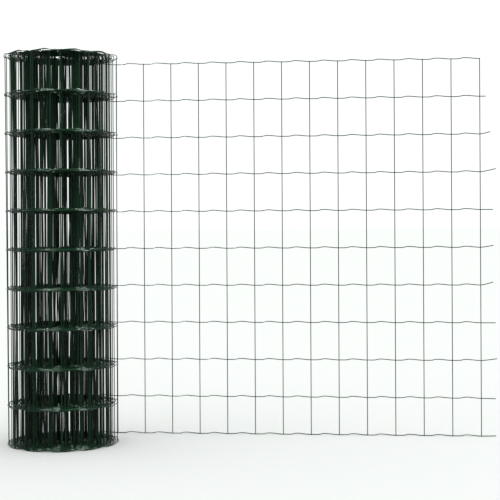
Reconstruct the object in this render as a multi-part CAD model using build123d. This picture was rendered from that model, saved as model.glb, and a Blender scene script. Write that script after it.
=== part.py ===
"""Roll of green plastic-coated welded wire fencing, stood on end with its free end unrolled.

Frame: the roll's axis is Z, the floor it stands on is z = 0, and the unrolled length runs along +X,
tangent to the back (+Y) of the roll. Millimetres throughout.
"""

from build123d import *
import math
import os

# Driving dimensions of the mesh
WIRE_DIAMETER = 2.2          # steel core with its plastic coat
WIRE_SIDES = 4
LINE_COUNT = 11              # line wires, which run along the fence
LINE_PITCH = 100.0           # height of one mesh
STAY_PITCH = 75.0            # width of one mesh
CRIMP_RISE = 3.0             # height of the tension crimp in each mesh of a line wire
CRIMP_START = 0.24           # where the crimp starts to rise, as a share of the mesh
CRIMP_CREST = 0.46           # where the crimp is highest

# Driving dimensions of the roll
FENCE_LENGTH = 25000.0       # of the whole piece, wound and unrolled
ROLL_DIAMETER = 294.0        # over the hoops of the outermost turn
BORE_DIAMETER = 40.0
TURNS_PER_RIDGE = 9          # turns that one ridge on the roll's ends stands for
GROOVE_DEPTH = 4.0           # depth of the grooves between those ridges
RIM_LAND = 6.0               # width of the flat rim that the roll stands on

# Driving dimensions of the unrolled length
FREE_STAYS = 15
FIRST_STAY_X = 41.0
LAP_DEPTH = 1.0              # how far its line wires stand proud of the hoops they lap over
STUB_LENGTHS = [0.0, 15.0, 26.0, 40.0, 32.0, 33.0, 32.0, 38.0, 41.0, 37.0, 37.0]   # cut ends, top to bottom
STUB_RISES = [0.0, 0.0, 6.0, 8.0, 0.0, 5.0, 8.0, 0.0, 5.0, -1.0, 1.0]              # top to bottom

# Sizes that follow
wire_radius = WIRE_DIAMETER / 2
line_heights = [wire_radius + level * LINE_PITCH for level in range(LINE_COUNT)]
mesh_height = line_heights[-1] + wire_radius
roll_radius = ROLL_DIAMETER / 2
bore_radius = BORE_DIAMETER / 2
drum_radius = roll_radius - WIRE_DIAMETER
line_y = roll_radius + LAP_DEPTH - wire_radius
stay_y = line_y - WIRE_DIAMETER
last_stay_x = FIRST_STAY_X + (FREE_STAYS - 1) * STAY_PITCH
wound_length = FENCE_LENGTH - last_stay_x - STAY_PITCH / 2
turn_pitch = math.pi * (roll_radius ** 2 - bore_radius ** 2) / wound_length
turns = (roll_radius - bore_radius) / turn_pitch
ridge_count = round(turns / TURNS_PER_RIDGE)
ridge_pitch = (drum_radius - RIM_LAND - bore_radius) / ridge_count


def end_profile(face_z, inward):
    """Points across one end of the roll: ridges and grooves for its turns, from the bore to a flat rim."""
    points = [(bore_radius, face_z)]
    for index in range(ridge_count):
        ridge = bore_radius + index * ridge_pitch
        points.append((ridge + ridge_pitch / 2, face_z + inward * GROOVE_DEPTH))
        points.append((ridge + ridge_pitch, face_z))
    return points


def hoop_profile():
    """Points up the outside of the roll: a hoop for the outer turn's line wire at each level."""
    points = []
    for height in line_heights:
        points.append((drum_radius, height - wire_radius))
        points.append((roll_radius, height))
        points.append((drum_radius, height + wire_radius))
    return points


def wound_roll():
    """The wound turns as one turned solid with its bore."""
    outline = end_profile(0.0, 1) + hoop_profile() + end_profile(mesh_height, -1)[::-1]
    section = make_face(Polyline([(radius, 0.0, height) for radius, height in outline], close=True))
    return revolve(section, Axis.Z)


def wire_section(plane):
    """Outline of a wire, with few sides, on a plane."""
    return plane * RegularPolygon(wire_radius, WIRE_SIDES, major_radius=False, rotation=180 / WIRE_SIDES)


def line_wire(level):
    """One line wire of the unrolled length: from its lap on the roll, with a crimp in each mesh, to its cut end."""
    height = line_heights[level]
    points = [(0.0, height)]
    for index in range(FREE_STAYS - 1):
        weld_x = FIRST_STAY_X + index * STAY_PITCH
        points.append((weld_x + CRIMP_START * STAY_PITCH, height))
        points.append((weld_x + CRIMP_CREST * STAY_PITCH, height + CRIMP_RISE))
        points.append((weld_x + STAY_PITCH, height))
    from_top = LINE_COUNT - 1 - level
    stub_end = last_stay_x + wire_radius + STUB_LENGTHS[from_top]
    points.append((stub_end, height + STUB_RISES[from_top]))
    sections = [wire_section(Plane(origin=(x, line_y, z), x_dir=(0, 1, 0), z_dir=(1, 0, 0))) for x, z in points]
    return loft(sections, ruled=True)


def stay_wire(index):
    """One upright stay wire."""
    x = FIRST_STAY_X + index * STAY_PITCH
    return extrude(wire_section(Plane(origin=(x, stay_y, 0), x_dir=(0, 1, 0), z_dir=(0, 0, 1))), mesh_height)


def unrolled_mesh():
    """The unrolled length: line and stay wires welded where they cross, lapped on the roll's hoops."""
    lines = [line_wire(level) for level in range(LINE_COUNT)]
    stays = [stay_wire(index) for index in range(FREE_STAYS)]
    mesh = lines[0].fuse(*lines[1:], *stays)
    hoops = Cylinder(roll_radius, 3 * mesh_height)
    return mesh - hoops


os.makedirs("parts", exist_ok=True)
export_step(wound_roll(), "parts/wound_roll.step")
export_step(unrolled_mesh(), "parts/unrolled_mesh.step")
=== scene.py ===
"""The look of the roll of welded wire fencing: every wire of the roll and of its unrolled length.

Metres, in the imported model's frame: the roll's axis is Z, the floor is z = 0, and the unrolled length
runs along +X from the back (+Y) of the roll. A place on the fencing is given by its run, the distance
along the mesh from where it leaves the roll, and its height. A run is negative along the unrolled
length and grows inward through the wound turns.
"""

import bpy
import math
import numpy as np
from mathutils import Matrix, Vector


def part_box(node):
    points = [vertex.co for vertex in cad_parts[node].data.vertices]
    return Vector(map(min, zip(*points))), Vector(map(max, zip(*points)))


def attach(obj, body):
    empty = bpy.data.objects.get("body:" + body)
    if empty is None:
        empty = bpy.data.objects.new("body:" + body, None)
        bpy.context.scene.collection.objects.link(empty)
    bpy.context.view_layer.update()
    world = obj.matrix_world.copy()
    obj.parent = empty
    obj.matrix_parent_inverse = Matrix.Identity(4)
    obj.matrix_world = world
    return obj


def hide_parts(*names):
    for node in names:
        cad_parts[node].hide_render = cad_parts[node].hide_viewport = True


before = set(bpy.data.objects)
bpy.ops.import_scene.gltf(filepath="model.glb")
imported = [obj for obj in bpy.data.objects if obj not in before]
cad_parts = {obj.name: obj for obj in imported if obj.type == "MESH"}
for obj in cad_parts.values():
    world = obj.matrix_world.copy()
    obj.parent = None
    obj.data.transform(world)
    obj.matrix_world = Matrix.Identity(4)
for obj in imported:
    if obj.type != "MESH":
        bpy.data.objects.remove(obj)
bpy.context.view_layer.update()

# The mesh
WIRE_RADIUS = 0.0011
STAY_PITCH = 0.075           # width of one mesh
LINE_COUNT = 11              # line wires, which run along the fence
CRIMP_RISE = 0.003           # height of the tension crimp in each mesh of a line wire
CRIMP_START = 0.24           # where the crimp starts to rise, as a share of the mesh
CRIMP_CREST = 0.46           # where the crimp is highest
WELD_RADIUS = 0.00135        # of the coat's fillet where two wires cross
CORE_RADIUS = 0.00085        # of the steel inside the coat, bare where a wire was cut
CORE_PROUD = 0.00008         # how far the steel stands out of the coat there

# The unrolled length
FREE_STAYS = 15
FIRST_STAY_X = 0.041
LAP_DEPTH = 0.001            # how far its line wires stand proud of the hoops they lap over

# The cut ends of its line wires, top to bottom, and how they are made
STUB_LENGTHS = [0.000, 0.015, 0.026, 0.040, 0.032, 0.033, 0.032, 0.038, 0.041, 0.037, 0.037]
STUB_RISES = [0.000, 0.000, 0.006, 0.008, 0.000, 0.005, 0.008, 0.000, 0.005, -0.001, 0.001]
STUB_BEND = 1.3              # how late in its length a cut end does its rise
STUB_TRIM = 0.00024          # how much shorter its coat is than the solid, to leave room for the steel

# The spiral of the wound turns, with places along it in turns from where the mesh leaves the roll
FENCE_LENGTH = 25.0
BORE_RADIUS = 0.020          # clear of the inmost stays
HOOP_GAP = 0.00011           # how far inside the solid's hoops the outermost turn lies
LOOSE_TURNS = 0.70           # turns that keep the full width before the spiral closes in
CLOSING_TURNS = 0.1          # turns over which it starts to
LOOSE_GAPS = 0.0120          # how much the gaps between the outer turns add up to
GAP_TURNS = 1.5              # turns over which those gaps die away
SETTLE_SPAN = (0.00, 0.14)   # where the mesh passes from the unrolled length's line to the spiral
TIGHT_SPAN = (0.70, 1.60)    # where the loose turn gives way to the tight ones
FOOT_DRAW = 0.0037           # how much narrower the loose turn is at the foot than at the top
FOOT_SHIFT = 0.0014          # and how far its foot stands to the right of its top
PACK_SHIFT = -0.0010         # how far to one side the tight turns have settled inside the loose one

# How the spiral is worked out
PITCH_LOW, PITCH_HIGH = 0.0005, 0.0100   # between which the tight turns' pitch is searched for
PITCH_HALVINGS = 40
MOST_TURNS = 300.0           # more than there can be
SEARCH_SAMPLES = 30001
TABLE_SAMPLES = 24001
TABLE_MARGIN = 2.0           # turns that the table goes on past the last one
TURN_STEP = 0.0001           # how far ahead a place is taken to find which way the mesh runs

# How the turns stray from the spiral
WAVER = 0.0008               # how far a turn wavers inward and outward
WAVER_SPAN = (0.50, 1.50)    # where the waver grows to that
WAVER_RADIUS = 0.060         # inside which the waver shrinks with the turns
LEAN = 0.0090                # how far a stay's top may lead its foot along the mesh
LEAN_SPAN = (0.25, 1.20)     # where the lean grows to that
BOW = 0.3                    # how far a stay may bow along the mesh, as a share of the lean
KINK = 0.0007                # how far a stay strays from straight at each line wire
END_SCATTER = 0.0014         # how far the turns ride up and down past each other, at foot and top
MIDDLE_SCATTER = 0.0050      # and at mid height, where the line wires sag and rise
SCATTER_SPAN = (0.40, 2.00)  # where the scatter grows to that
END_SHARE = 0.15             # share of the height, from each end, over which the mid height's scatter grows
CORE_SHORT = 0.0070          # how far short of both ends the front of the inmost turns stops
CORE_SPAN = (-6.0, -1.0)     # where it comes to stop there, counted back from the last turn
WAVE_WEIGHT = 1.4            # that wandering waves add up to, as they seldom all peak at once
SEED = 7

# Mesh detail
PANEL_SIDES = 12
OUTER_SIDES = 12
PACK_SIDES = 8
LINE_SAMPLES = 10            # along a line wire, in each mesh
PACK_LINE_SAMPLES = 8        # the same where the turns are packed
STAY_SAMPLES = 3             # along a stay wire, in each mesh
STUB_SAMPLES = 4             # along a cut end
PANEL_WELD_ROWS = 7
WOUND_WELD_ROWS = 5
WELD_CAP = 0.12              # angle from a fillet's pole at which it is closed off flat
SOFT_EDGE = 0.00015          # width of the softened edge at a wire's ends
OUTER_TURNS = 2.0            # turns whose wires get the outer detail
WELDED_TURNS = 4.0           # turns whose fillets can be seen

# Camera and studio
CAMERA_PLACE = (0.7547, -3.0204, 0.5553)
CAMERA_YAW = math.radians(4.98)
CAMERA_ROLL = math.radians(0.302)
LENS = 85.0
SENSOR_WIDTH = 36.0
HORIZON_Y = 228.0            # row of the photograph's 500 that is level with the camera
IMAGE_SIZE = 500.0
LAMP_DISTANCE = 3.2          # from the middle of the roll
SOFTBOX_SIZE = (1.0, 0.4)
SOFTBOX_POWER = 300.0
SOFTBOX_ELEVATION = 50.0
STRIP_SIZE = (2.0, 0.12)
STRIP_POWER = 500.0
STRIP_ELEVATION = 42.0
FLOOR_REACH = 400.0          # from the roll to the floor's edge

# Sizes that follow, from the frame
roll_radius, _, mesh_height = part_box("wound_roll")[1]
line_pitch = (mesh_height - 2 * WIRE_RADIUS) / (LINE_COUNT - 1)
line_heights = [WIRE_RADIUS + level * line_pitch for level in range(LINE_COUNT)]
line_y = roll_radius + LAP_DEPTH - WIRE_RADIUS
stay_inset = 2 * WIRE_RADIUS
weld_inset = stay_inset / 2
stay_samples = (LINE_COUNT - 1) * STAY_SAMPLES + 1
stay_heights = np.linspace(0.0, mesh_height, stay_samples)
last_stay_x = FIRST_STAY_X + (FREE_STAYS - 1) * STAY_PITCH
outmost_radius = roll_radius - WIRE_RADIUS - HOOP_GAP
inmost_radius = BORE_RADIUS + stay_inset + WIRE_RADIUS
wound_length = FENCE_LENGTH - last_stay_x - STAY_PITCH / 2
first_wound_run = STAY_PITCH - FIRST_STAY_X
wound_stay_count = int((wound_length - first_wound_run) / STAY_PITCH) + 1
draws = np.random.default_rng(SEED)


def smooth(span, value):
    """0 below the span, 1 above it, with a soft step between."""
    low, high = span
    share = np.clip((value - low) / (high - low), 0.0, 1.0)
    return share * share * (3 - 2 * share)


def as_share(value):
    """A share between 0 and 1 from a value between -1 and 1."""
    return np.clip(value * 0.5 + 0.5, 0.0, 1.0)


def unit(vectors):
    """Vectors scaled to a length of 1."""
    return vectors / np.linalg.norm(vectors, axis=-1, keepdims=True)


def wander(count, slowest, fastest):
    """A smooth wandering function, mostly between -1 and 1, from waves whose paces are drawn at random."""
    paces = draws.uniform(slowest, fastest, count)
    phases = draws.uniform(0, 2 * math.pi, count)
    weights = draws.uniform(0.5, 1.0, count)
    weights *= WAVE_WEIGHT / weights.sum()
    waves = list(zip(weights, paces, phases))
    return lambda turn: sum(weight * np.sin(pace * turn + phase) for weight, pace, phase in waves)


# How the turns wander, as functions of the turn, with paces in radians a turn
foot_waver = wander(count=5, slowest=9.0, fastest=31.0)
top_waver = wander(count=5, slowest=9.0, fastest=31.0)
foot_lift = wander(count=4, slowest=2.0, fastest=9.0)
middle_lift = wander(count=5, slowest=2.0, fastest=12.0)
top_drop = wander(count=4, slowest=2.0, fastest=9.0)
lean = wander(count=4, slowest=2.0, fastest=9.0)
bow = wander(count=5, slowest=6.0, fastest=20.0)


# The spiral that the line wires follow in plan
def spiral_radius(turn, pitch):
    """Radius at a turn: a loose turn, then gaps that close to tight turns of one pitch."""
    past = np.maximum(turn - LOOSE_TURNS, 0.0)
    inward = past * past / (past + CLOSING_TURNS)
    return outmost_radius - pitch * inward - LOOSE_GAPS * (1 - np.exp(-inward / GAP_TURNS))


def wind_up():
    """Pitch of the tight turns, and count of turns, that wind the whole length down to the bore."""
    low, high = PITCH_LOW, PITCH_HIGH
    turns = np.linspace(0.0, MOST_TURNS, SEARCH_SAMPLES)
    for _ in range(PITCH_HALVINGS):
        pitch = (low + high) / 2
        radii = spiral_radius(turns, pitch)
        wound = radii > inmost_radius
        length = 2 * math.pi * radii[wound].sum() * turns[1]
        if length > wound_length:
            low = pitch
        else:
            high = pitch
    return pitch, turns[wound][-1]


tight_pitch, turn_count = wind_up()


def plan_place(turn, share):
    """Where the line wires lie in plan, at a turn and a share of the height."""
    angle = math.pi / 2 + 2 * math.pi * turn
    settled = smooth(SETTLE_SPAN, turn)
    tight = smooth(TIGHT_SPAN, turn)
    loose_foot = (1 - share) * settled * (1 - tight)
    radius = spiral_radius(turn, tight_pitch) - FOOT_DRAW * loose_foot
    waver = WAVER * smooth(WAVER_SPAN, turn) * (foot_waver(turn) * (1 - share) + top_waver(turn) * share)
    radius = radius + waver * np.minimum(1.0, radius / WAVER_RADIUS)
    x = radius * np.cos(angle) + FOOT_SHIFT * loose_foot + PACK_SHIFT * tight
    y = (radius + (line_y - outmost_radius) * (1 - settled)) * np.sin(angle)
    return x, y


def run_table():
    """Runs and turns along the whole spiral, to look one up from the other."""
    turns = np.linspace(0.0, turn_count + TABLE_MARGIN, TABLE_SAMPLES)
    x, y = plan_place(turns, 0.5)
    runs = np.concatenate([[0.0], np.cumsum(np.hypot(np.diff(x), np.diff(y)))])
    return runs, turns


table_runs, table_turns = run_table()


def turn_at(run):
    """Turn at a run."""
    return np.interp(run, table_runs, table_turns)


def run_at(turn):
    """Run at a turn."""
    return np.interp(turn, table_turns, table_runs)


def slip(turn, share):
    """How far the mesh is sheared along itself, at a turn and a share of the height."""
    sheared = lean(turn) * (share - 0.5) + BOW * bow(turn) * np.sin(math.pi * share)
    return LEAN * smooth(LEAN_SPAN, turn) * sheared


def lift(turn, share):
    """How far the mesh rides above or below its place, at a turn and a share of the height."""
    ends = as_share(foot_lift(turn)) * (1 - share) - as_share(top_drop(turn)) * share
    middle = smooth((0.0, END_SHARE), share) * smooth((0.0, END_SHARE), 1 - share)
    front = as_share(-np.cos(2 * math.pi * turn))
    core = CORE_SHORT * (1 - 2 * share) * front * smooth(CORE_SPAN, turn - turn_count)
    ride = END_SCATTER * ends + MIDDLE_SCATTER * middle_lift(turn) * middle + core
    return smooth(SCATTER_SPAN, turn) * ride


def crimp(run):
    """Rise of a line wire's crimp at a run: one in each mesh, steep on one side."""
    share = ((-run - FIRST_STAY_X) / STAY_PITCH) % 1.0
    return CRIMP_RISE * smooth((CRIMP_START, CRIMP_CREST), share) * (1 - smooth((CRIMP_CREST, 1.0), share))


def mesh_points(run, height, inset=0.0, crimped=False):
    """Places in space of points on the mesh: inset is how far inside the line wires they lie."""
    run = np.asarray(run, float)
    height = np.broadcast_to(np.asarray(height, float), run.shape)
    share = height / mesh_height
    turn = turn_at(np.maximum(run, 0.0))
    x, y = plan_place(turn, share)
    ahead_x, ahead_y = plan_place(turn + TURN_STEP, share)
    ahead = unit(np.stack([ahead_x - x, ahead_y - y], axis=-1))
    wound = run > 0
    x = np.where(wound, x - inset * ahead[..., 1], -run)
    y = np.where(wound, y + inset * ahead[..., 0], line_y - inset)
    z = height + lift(turn, share)
    if crimped:
        z = z + crimp(run - slip(turn, share))
    return np.stack([x, y, z], axis=-1)


def stay_runs(index):
    """Runs of a wound stay wire's samples, from foot to top."""
    run = first_wound_run + index * STAY_PITCH
    turn = turn_at(run)
    kinks = KINK * draws.standard_normal(LINE_COUNT) * min(1.0, turn)
    shares = np.linspace(0.0, 1.0, stay_samples)
    levels = np.linspace(0.0, 1.0, LINE_COUNT)
    return run + slip(turn, shares) + np.interp(shares, levels, kinks)


# Shapes, as vertices and faces
def circle(sides):
    """Cosines and sines of equal steps round a circle, as columns."""
    angles = np.arange(sides)[:, None] * 2 * math.pi / sides
    return np.cos(angles), np.sin(angles)


def skin(rows, sides):
    """Faces over rows of points that go round anticlockwise, with a cap on the first and last row."""
    start = np.arange(rows - 1)[:, None] * sides
    here = start + np.arange(sides)
    beside = start + (np.arange(sides) + 1) % sides
    quads = np.stack([beside, beside + sides, here + sides, here], axis=-1).reshape(-1, 4)
    first_cap = list(range(sides))[::-1]
    last_cap = list(range((rows - 1) * sides, rows * sides))
    return quads.tolist() + [first_cap, last_cap]


def tube(points, radius, sides, reference):
    """A round wire along points, with closed ends and a soft edge at each.

    The reference is a direction well away from the wire's, which keeps its rows of points from twisting.
    """
    first_edge = points[0] + SOFT_EDGE * unit(points[1] - points[0])
    last_edge = points[-1] + SOFT_EDGE * unit(points[-2] - points[-1])
    points = np.vstack([points[0], first_edge, points[1:-1], last_edge, points[-1]])
    along = unit(np.gradient(points, axis=0))
    side = unit(np.cross(along, reference))
    other = np.cross(along, side)
    cosines, sines = circle(sides)
    rows = points[:, None] + radius * (cosines * side[:, None] + sines * other[:, None])
    return rows.reshape(-1, 3), skin(len(points), sides)


def fillet(centre, sides, rows):
    """The small ball of coat where two wires cross, kept off the floor."""
    centre = np.array([centre[0], centre[1], max(centre[2], WELD_RADIUS)])
    polar = np.linspace(math.pi - WELD_CAP, WELD_CAP, rows)[:, None, None]
    cosines, sines = circle(sides)
    x, y, z = np.broadcast_arrays(np.sin(polar) * cosines, np.sin(polar) * sines, np.cos(polar))
    ball = np.concatenate([x, y, z], axis=-1)
    return (centre + WELD_RADIUS * ball).reshape(-1, 3), skin(rows, sides)


# The wires alone are lit by the lamps
lit_pieces = bpy.data.collections.new("lit_pieces")


def piece(name, shapes, material, node):
    """One object from several shapes, which stands for a CAD node. Its caps are flat, the rest smooth."""
    vertices = np.vstack([points for points, _ in shapes])
    faces = []
    offset = 0
    for points, shape_faces in shapes:
        faces.extend([corner + offset for corner in face] for face in shape_faces)
        offset += len(points)
    mesh = bpy.data.meshes.new(name)
    mesh.from_pydata(vertices.tolist(), [], faces)
    mesh.polygons.foreach_set("use_smooth", [len(face) == 4 for face in faces])
    mesh.update()
    mesh.materials.append(material)
    made = bpy.data.objects.new(name, mesh)
    bpy.context.scene.collection.objects.link(made)
    lit_pieces.objects.link(made)
    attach(made, "root")
    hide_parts(node)


# Materials
def new_material(name):
    """A material and its shader."""
    material = bpy.data.materials.new(name)
    material.use_nodes = True
    return material, material.node_tree.nodes["Principled BSDF"]


def noise(material, scale, detail):
    """Noise that is fixed to the object."""
    nodes = material.node_tree.nodes
    place = nodes.new("ShaderNodeTexCoord")
    texture = nodes.new("ShaderNodeTexNoise")
    texture.inputs["Scale"].default_value = scale
    texture.inputs["Detail"].default_value = detail
    material.node_tree.links.new(place.outputs["Object"], texture.inputs["Vector"])
    return texture.outputs["Fac"]


def uneven_roughness(material, shader, source, smoothest, roughest):
    """Roughness that follows a noise, between two values."""
    spread = material.node_tree.nodes.new("ShaderNodeMapRange")
    spread.inputs["To Min"].default_value = smoothest
    spread.inputs["To Max"].default_value = roughest
    material.node_tree.links.new(source, spread.inputs["Value"])
    material.node_tree.links.new(spread.outputs["Result"], shader.inputs["Roughness"])


def coated_wire():
    """Smooth dark moss green plastic coat, with faint changes of tone and gloss along the wire."""
    material, shader = new_material("coated_wire")
    nodes = material.node_tree.nodes
    links = material.node_tree.links
    tone = nodes.new("ShaderNodeValToRGB")
    tone.color_ramp.elements[0].position = 0.35
    tone.color_ramp.elements[0].color = (0.0014, 0.0066, 0.0030, 1)
    tone.color_ramp.elements[1].position = 0.70
    tone.color_ramp.elements[1].color = (0.0021, 0.0096, 0.0044, 1)
    links.new(noise(material, scale=9.0, detail=4.0), tone.inputs["Fac"])
    links.new(tone.outputs["Color"], shader.inputs["Base Color"])
    grain = noise(material, scale=140.0, detail=3.0)
    uneven_roughness(material, shader, grain, smoothest=0.06, roughest=0.14)
    bump = nodes.new("ShaderNodeBump")
    bump.inputs["Strength"].default_value = 0.15
    bump.inputs["Distance"].default_value = 0.0002
    links.new(grain, bump.inputs["Height"])
    links.new(bump.outputs["Normal"], shader.inputs["Normal"])
    shader.inputs["Specular IOR Level"].default_value = 0.10
    shader.inputs["Specular Tint"].default_value = (0.82, 1.0, 0.90, 1)
    return material


def cut_steel():
    """Bright sheared steel of the wire's core, dulled in spots."""
    material, shader = new_material("cut_steel")
    spots = noise(material, scale=2500.0, detail=2.0)
    uneven_roughness(material, shader, spots, smoothest=0.25, roughest=0.55)
    shader.inputs["Base Color"].default_value = (0.42, 0.42, 0.41, 1)
    shader.inputs["Metallic"].default_value = 1.0
    return material


def pale_floor():
    """Plain pale floor with no gloss."""
    material, shader = new_material("floor_pale")
    shader.inputs["Base Color"].default_value = (0.95, 0.95, 0.95, 1)
    shader.inputs["Roughness"].default_value = 0.9
    shader.inputs["Specular IOR Level"].default_value = 0.0
    return material


# The unrolled length
def stub_points(level):
    """Points of a line wire's cut end, past the last stay."""
    from_top = LINE_COUNT - 1 - level
    steps = np.linspace(0, 1, STUB_SAMPLES + 1)[1:]
    x = last_stay_x + (WIRE_RADIUS + STUB_LENGTHS[from_top] - STUB_TRIM) * steps
    z = line_heights[level] + STUB_RISES[from_top] * steps ** STUB_BEND
    return np.stack([x, np.full(STUB_SAMPLES, line_y), z], axis=-1)


def panel_line_wire(level, material):
    """One line wire of the unrolled length, from where it leaves the roll to its cut end."""
    cells = np.arange(-1, FREE_STAYS - 1)[:, None]
    shares = np.arange(LINE_SAMPLES) / LINE_SAMPLES
    x = (FIRST_STAY_X + (cells + shares) * STAY_PITCH).ravel()
    x = np.concatenate([[0.0], x[x > 0], [last_stay_x]])
    points = np.vstack([mesh_points(-x, line_heights[level], crimped=True), stub_points(level)])
    wire = tube(points, WIRE_RADIUS, PANEL_SIDES, reference=(0, 0, 1))
    piece(f"panel_line_wire_{level:02d}", [wire], material, "unrolled_mesh")


def panel_stay(index, material):
    """One stay wire of the unrolled length."""
    runs = np.full(stay_samples, -FIRST_STAY_X - index * STAY_PITCH)
    points = mesh_points(runs, stay_heights, stay_inset)
    wire = tube(points, WIRE_RADIUS, PANEL_SIDES, reference=(0, 1, 0))
    piece(f"panel_stay_{index:02d}", [wire], material, "unrolled_mesh")


def panel_welds(material):
    """The coat's fillets where the wires of the unrolled length cross."""
    runs = -FIRST_STAY_X - np.arange(FREE_STAYS) * STAY_PITCH
    fillets = []
    for height in line_heights:
        for centre in mesh_points(runs, height, weld_inset):
            fillets.append(fillet(centre, PANEL_SIDES, PANEL_WELD_ROWS))
    piece("panel_welds", fillets, material, "unrolled_mesh")


def panel_cut_ends(material):
    """The bare steel at the cut ends of the line wires."""
    cores = []
    for level in range(LINE_COUNT):
        before_last, last = stub_points(level)[-2:]
        along = unit(last - before_last)
        ends = np.stack([last - along * WIRE_RADIUS, last + along * CORE_PROUD])
        cores.append(tube(ends, CORE_RADIUS, PANEL_SIDES, reference=(0, 0, 1)))
    piece("panel_cut_ends", cores, material, "unrolled_mesh")


# The wound turns
def wound_line_wire(level, material):
    """One line wire through all the wound turns, finer where it shows."""
    outer = np.arange(0.0, run_at(OUTER_TURNS), STAY_PITCH / LINE_SAMPLES)
    pack = np.arange(outer[-1], wound_length, STAY_PITCH / PACK_LINE_SAMPLES)
    parts = []
    for runs, sides in ((outer, OUTER_SIDES), (pack, PACK_SIDES)):
        points = mesh_points(runs, line_heights[level], crimped=True)
        parts.append(tube(points, WIRE_RADIUS, sides, reference=(0, 0, 1)))
    piece(f"wound_line_wire_{level:02d}", parts, material, "wound_roll")


def wound_stays(material):
    """The stay wires of the wound turns, with the fillets of the turns that show."""
    outer_stays, pack_stays, fillets = [], [], []
    for index in range(wound_stay_count):
        runs = stay_runs(index)
        turn = turn_at(runs.mean())
        points = mesh_points(runs, stay_heights, stay_inset)
        outward = points.mean(axis=0) * (1, 1, 0)
        if turn < OUTER_TURNS:
            outer_stays.append(tube(points, WIRE_RADIUS, OUTER_SIDES, outward))
        else:
            pack_stays.append(tube(points, WIRE_RADIUS, PACK_SIDES, outward))
        if turn < WELDED_TURNS:
            crossing_runs = np.interp(line_heights, stay_heights, runs)
            centres = mesh_points(crossing_runs, line_heights, weld_inset)
            fillets.extend(fillet(centre, PACK_SIDES, WOUND_WELD_ROWS) for centre in centres)
    piece("wound_stays_outer", outer_stays, material, "wound_roll")
    piece("wound_stays_pack", pack_stays, material, "wound_roll")
    piece("wound_welds", fillets, material, "wound_roll")


# Stage, light and camera
def floor():
    """A wide floor under the object."""
    corners = [(-FLOOR_REACH, -FLOOR_REACH, 0), (FLOOR_REACH, -FLOOR_REACH, 0),
               (FLOOR_REACH, FLOOR_REACH, 0), (-FLOOR_REACH, FLOOR_REACH, 0)]
    mesh = bpy.data.meshes.new("floor")
    mesh.from_pydata(corners, [], [(0, 1, 2, 3)])
    mesh.materials.append(pale_floor())
    plane = bpy.data.objects.new("floor", mesh)
    bpy.context.scene.collection.objects.link(plane)


def lamp(name, azimuth, elevation, size, power):
    """An area light on the wires alone, aimed at the middle of the roll from a direction in degrees."""
    azimuth, elevation = math.radians(azimuth), math.radians(elevation)
    level_reach = math.cos(elevation)
    toward = Vector((level_reach * math.cos(azimuth), level_reach * math.sin(azimuth), math.sin(elevation)))
    light = bpy.data.lights.new(name, "AREA")
    light.shape = "RECTANGLE"
    light.size, light.size_y = size
    light.energy = power
    made = bpy.data.objects.new(name, light)
    made.location = Vector((0, 0, mesh_height / 2)) + toward * LAMP_DISTANCE
    made.rotation_euler = (-toward).to_track_quat("-Z", "Y").to_euler()
    made.light_linking.receiver_collection = lit_pieces
    bpy.context.scene.collection.objects.link(made)
    return made


def softbox(name, azimuth):
    """A high soft light."""
    lamp(name, azimuth, SOFTBOX_ELEVATION, SOFTBOX_SIZE, SOFTBOX_POWER)


def strip(name, azimuth):
    """A long narrow light that only gives highlights, on the fronts of the hoops."""
    lamp(name, azimuth, STRIP_ELEVATION, STRIP_SIZE, STRIP_POWER).visible_diffuse = False


def studio():
    """Even white surroundings, three softboxes, and two strips in front."""
    world = bpy.data.worlds.new("studio")
    bpy.context.scene.world = world
    world.use_nodes = True
    background = world.node_tree.nodes["Background"]
    background.inputs["Color"].default_value = (0.97, 1.0, 0.98, 1)
    background.inputs["Strength"].default_value = 1.05
    softbox("softbox_left", azimuth=-106)
    softbox("softbox_right", azimuth=-16)
    softbox("softbox_back", azimuth=115)
    strip("strip_left", azimuth=-114)
    strip("strip_right", azimuth=-18)


def camera():
    """The photograph's viewpoint: level, with a small downward shift and a slight tilt to one side."""
    data = bpy.data.cameras.new("camera")
    data.lens = LENS
    data.sensor_width = SENSOR_WIDTH
    data.shift_y = (HORIZON_Y - IMAGE_SIZE / 2) / IMAGE_SIZE
    view = bpy.data.objects.new("camera", data)
    view.location = CAMERA_PLACE
    view.rotation_euler = (math.pi / 2, CAMERA_ROLL, CAMERA_YAW)
    bpy.context.scene.collection.objects.link(view)
    bpy.context.scene.camera = view


# The whole scene
wire_coat = coated_wire()
for level in range(LINE_COUNT):
    panel_line_wire(level, wire_coat)
    wound_line_wire(level, wire_coat)
for index in range(FREE_STAYS):
    panel_stay(index, wire_coat)
panel_welds(wire_coat)
panel_cut_ends(cut_steel())
wound_stays(wire_coat)
floor()
studio()
camera()
bpy.context.scene.view_settings.view_transform = "Standard"
